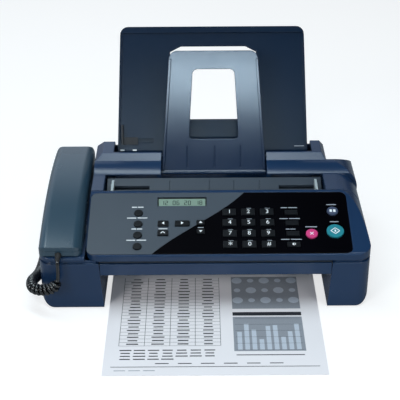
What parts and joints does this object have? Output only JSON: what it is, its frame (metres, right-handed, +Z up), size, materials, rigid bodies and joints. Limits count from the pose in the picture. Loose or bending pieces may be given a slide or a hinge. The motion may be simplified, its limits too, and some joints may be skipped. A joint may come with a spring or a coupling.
{
  "type": "fax machine",
  "caption": "Desktop fax machine with a corded handset, sloping key panel, lean-back document and paper supports, and a printed sheet leaving the front bay.",
  "frame": {"origin": "on the table under the middle of the whole footprint, from the sheet's front edge to the back of the paper support", "axes": "+X to the user's right, +Y to the back, +Z up"},
  "size_m": [0.352, 0.3434, 0.2185],
  "materials": {
    "casing": "fine-textured navy ABS",
    "bed": "dark slate, fine texture",
    "handset": "slate-blue to navy, satin",
    "faceplate_slate": "satin slate",
    "faceplate_gloss": "piano black",
    "support": "satin blue-grey",
    "tray": "satin dark blue",
    "rubber": "black rubber",
    "cord": "glossy black vinyl",
    "light_plastic": "light grey",
    "dark_plastic": "black moulded plastic",
    "steel": "zinc-plated sheet steel",
    "board": "green circuit board",
    "display": "grey-green display",
    "paper": "white paper",
    "key": "black keys, white symbols",
    "key_cancel": "pink key",
    "key_copy": "slate-blue key",
    "key_start": "teal key"
  },
  "bodies": {
    "base": {"base_shell": "casing", "rubber_feet": "rubber", "rear_housing": "casing", "cradle": "casing", "paper_support": "tray", "chassis": "steel", "carriage_rod": "steel", "drive_belt": "rubber", "carriage_motor": "steel", "main_board": "board", "handset_cord": "cord"},
    "lid": {"panel_housing": "casing", "slate_faceplate": "faceplate_slate", "gloss_faceplate": "faceplate_gloss", "front_bar": "casing", "document_bed": "bed", "scan_bar": "dark_plastic", "display_module": "display", "key_board": "board"},
    "pick_roller": {"document_roller": "rubber"},
    "guide_left": {"document_guide_left": "light_plastic"},
    "guide_right": {"document_guide_right": "light_plastic"},
    "document_support": {"document_support": "support"},
    "paper_guide": {"paper_guide": "dark_plastic"},
    "handset": {"handset_shell": "handset", "handset_cover": "handset"},
    "hook_plunger": {"hook_plunger": "light_plastic"},
    "carriage": {"carriage": "dark_plastic", "ink_cartridges": "dark_plastic"},
    "feed_roller": {"feed_roller": "rubber"},
    "exit_roller": {"exit_roller": "rubber"},
    "sheet": {"printed_sheet": "paper"},
    "function_key_1": {"function_key_1": "key"},
    "function_key_2": {"function_key_2": "key"},
    "function_key_3": {"function_key_3": "key"},
    "function_key_4": {"function_key_4": "key"},
    "menu_key_1": {"menu_key_1": "key"},
    "menu_key_2": {"menu_key_2": "key"},
    "menu_key_3": {"menu_key_3": "key"},
    "menu_key_4": {"menu_key_4": "key"},
    "menu_key_5": {"menu_key_5": "key"},
    "number_key_1": {"number_key_1": "key"},
    "number_key_2": {"number_key_2": "key"},
    "number_key_3": {"number_key_3": "key"},
    "number_key_4": {"number_key_4": "key"},
    "number_key_5": {"number_key_5": "key"},
    "number_key_6": {"number_key_6": "key"},
    "number_key_7": {"number_key_7": "key"},
    "number_key_8": {"number_key_8": "key"},
    "number_key_9": {"number_key_9": "key"},
    "number_key_star": {"number_key_star": "key"},
    "number_key_0": {"number_key_0": "key"},
    "number_key_hash": {"number_key_hash": "key"},
    "side_key_1": {"side_key_1": "key"},
    "side_key_2": {"side_key_2": "key"},
    "side_key_3": {"side_key_3": "key"},
    "side_key_4": {"side_key_4": "key"},
    "cancel_key": {"cancel_key": "key_cancel"},
    "copy_key": {"copy_key": "key_copy"},
    "start_key": {"start_key": "key_start"}
  },
  "joints": [
    {"name": "lid_hinge", "type": "hinge", "parent": "base", "child": "lid", "pos_m": [0, 0.06819, 0.078], "axis": [-1, 0, 0], "range_deg": [0, 25]},
    {"name": "pick_roller_spin", "type": "hinge", "parent": "lid", "child": "pick_roller", "pos_m": [0, 0.01745, 0.07279], "axis": [1, 0, 0], "continuous": true},
    {"name": "guide_left_slide", "type": "slide", "parent": "lid", "child": "guide_left", "axis": [1, 0, 0], "range_m": [0, 0.037]},
    {"name": "guide_right_slide", "type": "slide", "parent": "lid", "child": "guide_right", "axis": [-1, 0, 0], "range_m": [0, 0.037]},
    {"name": "document_support_tilt", "type": "hinge", "parent": "base", "child": "document_support", "pos_m": [0, 0.07842, 0.08247], "axis": [-1, 0, 0], "range_deg": [0, 11]},
    {"name": "paper_guide_slide", "type": "slide", "parent": "base", "child": "paper_guide", "axis": [1, 0, 0], "range_m": [0, 0.03]},
    {"name": "handset_lift", "type": "slide", "parent": "base", "child": "handset", "axis": [0, 0, 1], "range_m": [0, 0.08]},
    {"name": "hook_plunger_slide", "type": "slide", "parent": "base", "child": "hook_plunger", "axis": [0, 0, 1], "range_m": [0, 0.003]},
    {"name": "carriage_slide", "type": "slide", "parent": "base", "child": "carriage", "axis": [1, 0, 0], "range_m": [-0.115, 0.04]},
    {"name": "feed_roller_spin", "type": "hinge", "parent": "base", "child": "feed_roller", "pos_m": [0, 0.09775, 0.031], "axis": [1, 0, 0], "continuous": true},
    {"name": "exit_roller_spin", "type": "hinge", "parent": "base", "child": "exit_roller", "pos_m": [0, 0.04575, 0.0327], "axis": [1, 0, 0], "continuous": true},
    {"name": "sheet_slide", "type": "slide", "parent": "base", "child": "sheet", "axis": [0, -1, 0], "range_m": [0, 0.17]},
    {"name": "function_key_1_press", "type": "slide", "parent": "lid", "child": "function_key_1", "axis": [0, 0.2756, -0.9613], "range_m": [0, 0.001], "stiffness_N_per_m": 400, "springref_m": -0.0005},
    {"name": "function_key_2_press", "type": "slide", "parent": "lid", "child": "function_key_2", "axis": [0, 0.2756, -0.9613], "range_m": [0, 0.001], "stiffness_N_per_m": 400, "springref_m": -0.0005},
    {"name": "function_key_3_press", "type": "slide", "parent": "lid", "child": "function_key_3", "axis": [0, 0.2756, -0.9613], "range_m": [0, 0.001], "stiffness_N_per_m": 400, "springref_m": -0.0005},
    {"name": "function_key_4_press", "type": "slide", "parent": "lid", "child": "function_key_4", "axis": [0, 0.2756, -0.9613], "range_m": [0, 0.001], "stiffness_N_per_m": 400, "springref_m": -0.0005},
    {"name": "menu_key_1_press", "type": "slide", "parent": "lid", "child": "menu_key_1", "axis": [0, 0.2756, -0.9613], "range_m": [0, 0.001], "stiffness_N_per_m": 400, "springref_m": -0.0005},
    {"name": "menu_key_2_press", "type": "slide", "parent": "lid", "child": "menu_key_2", "axis": [0, 0.2756, -0.9613], "range_m": [0, 0.001], "stiffness_N_per_m": 400, "springref_m": -0.0005},
    {"name": "menu_key_3_press", "type": "slide", "parent": "lid", "child": "menu_key_3", "axis": [0, 0.2756, -0.9613], "range_m": [0, 0.001], "stiffness_N_per_m": 400, "springref_m": -0.0005},
    {"name": "menu_key_4_press", "type": "slide", "parent": "lid", "child": "menu_key_4", "axis": [0, 0.2756, -0.9613], "range_m": [0, 0.001], "stiffness_N_per_m": 400, "springref_m": -0.0005},
    {"name": "menu_key_5_press", "type": "slide", "parent": "lid", "child": "menu_key_5", "axis": [0, 0.2756, -0.9613], "range_m": [0, 0.001], "stiffness_N_per_m": 400, "springref_m": -0.0005},
    {"name": "number_key_1_press", "type": "slide", "parent": "lid", "child": "number_key_1", "axis": [0, 0.2756, -0.9613], "range_m": [0, 0.001], "stiffness_N_per_m": 400, "springref_m": -0.0005},
    {"name": "number_key_2_press", "type": "slide", "parent": "lid", "child": "number_key_2", "axis": [0, 0.2756, -0.9613], "range_m": [0, 0.001], "stiffness_N_per_m": 400, "springref_m": -0.0005},
    {"name": "number_key_3_press", "type": "slide", "parent": "lid", "child": "number_key_3", "axis": [0, 0.2756, -0.9613], "range_m": [0, 0.001], "stiffness_N_per_m": 400, "springref_m": -0.0005},
    {"name": "number_key_4_press", "type": "slide", "parent": "lid", "child": "number_key_4", "axis": [0, 0.2756, -0.9613], "range_m": [0, 0.001], "stiffness_N_per_m": 400, "springref_m": -0.0005},
    {"name": "number_key_5_press", "type": "slide", "parent": "lid", "child": "number_key_5", "axis": [0, 0.2756, -0.9613], "range_m": [0, 0.001], "stiffness_N_per_m": 400, "springref_m": -0.0005},
    {"name": "number_key_6_press", "type": "slide", "parent": "lid", "child": "number_key_6", "axis": [0, 0.2756, -0.9613], "range_m": [0, 0.001], "stiffness_N_per_m": 400, "springref_m": -0.0005},
    {"name": "number_key_7_press", "type": "slide", "parent": "lid", "child": "number_key_7", "axis": [0, 0.2756, -0.9613], "range_m": [0, 0.001], "stiffness_N_per_m": 400, "springref_m": -0.0005},
    {"name": "number_key_8_press", "type": "slide", "parent": "lid", "child": "number_key_8", "axis": [0, 0.2756, -0.9613], "range_m": [0, 0.001], "stiffness_N_per_m": 400, "springref_m": -0.0005},
    {"name": "number_key_9_press", "type": "slide", "parent": "lid", "child": "number_key_9", "axis": [0, 0.2756, -0.9613], "range_m": [0, 0.001], "stiffness_N_per_m": 400, "springref_m": -0.0005},
    {"name": "number_key_star_press", "type": "slide", "parent": "lid", "child": "number_key_star", "axis": [0, 0.2756, -0.9613], "range_m": [0, 0.001], "stiffness_N_per_m": 400, "springref_m": -0.0005},
    {"name": "number_key_0_press", "type": "slide", "parent": "lid", "child": "number_key_0", "axis": [0, 0.2756, -0.9613], "range_m": [0, 0.001], "stiffness_N_per_m": 400, "springref_m": -0.0005},
    {"name": "number_key_hash_press", "type": "slide", "parent": "lid", "child": "number_key_hash", "axis": [0, 0.2756, -0.9613], "range_m": [0, 0.001], "stiffness_N_per_m": 400, "springref_m": -0.0005},
    {"name": "side_key_1_press", "type": "slide", "parent": "lid", "child": "side_key_1", "axis": [0, 0.2756, -0.9613], "range_m": [0, 0.001], "stiffness_N_per_m": 400, "springref_m": -0.0005},
    {"name": "side_key_2_press", "type": "slide", "parent": "lid", "child": "side_key_2", "axis": [0, 0.2756, -0.9613], "range_m": [0, 0.001], "stiffness_N_per_m": 400, "springref_m": -0.0005},
    {"name": "side_key_3_press", "type": "slide", "parent": "lid", "child": "side_key_3", "axis": [0, 0.2756, -0.9613], "range_m": [0, 0.001], "stiffness_N_per_m": 400, "springref_m": -0.0005},
    {"name": "side_key_4_press", "type": "slide", "parent": "lid", "child": "side_key_4", "axis": [0, 0.2756, -0.9613], "range_m": [0, 0.001], "stiffness_N_per_m": 400, "springref_m": -0.0005},
    {"name": "cancel_key_press", "type": "slide", "parent": "lid", "child": "cancel_key", "axis": [0, 0.2756, -0.9613], "range_m": [0, 0.001], "stiffness_N_per_m": 400, "springref_m": -0.0005},
    {"name": "copy_key_press", "type": "slide", "parent": "lid", "child": "copy_key", "axis": [0, 0.2756, -0.9613], "range_m": [0, 0.001], "stiffness_N_per_m": 400, "springref_m": -0.0005},
    {"name": "start_key_press", "type": "slide", "parent": "lid", "child": "start_key", "axis": [0, 0.2756, -0.9613], "range_m": [0, 0.001], "stiffness_N_per_m": 400, "springref_m": -0.0005}
  ],
  "couplings": [
    {"joint": "guide_right_slide", "follows": "guide_left_slide", "ratio": 1},
    {"joint": "hook_plunger_slide", "follows": "handset_lift", "ratio": 0.0375},
    {"joint": "exit_roller_spin", "follows": "feed_roller_spin", "ratio": 1}
  ]
}
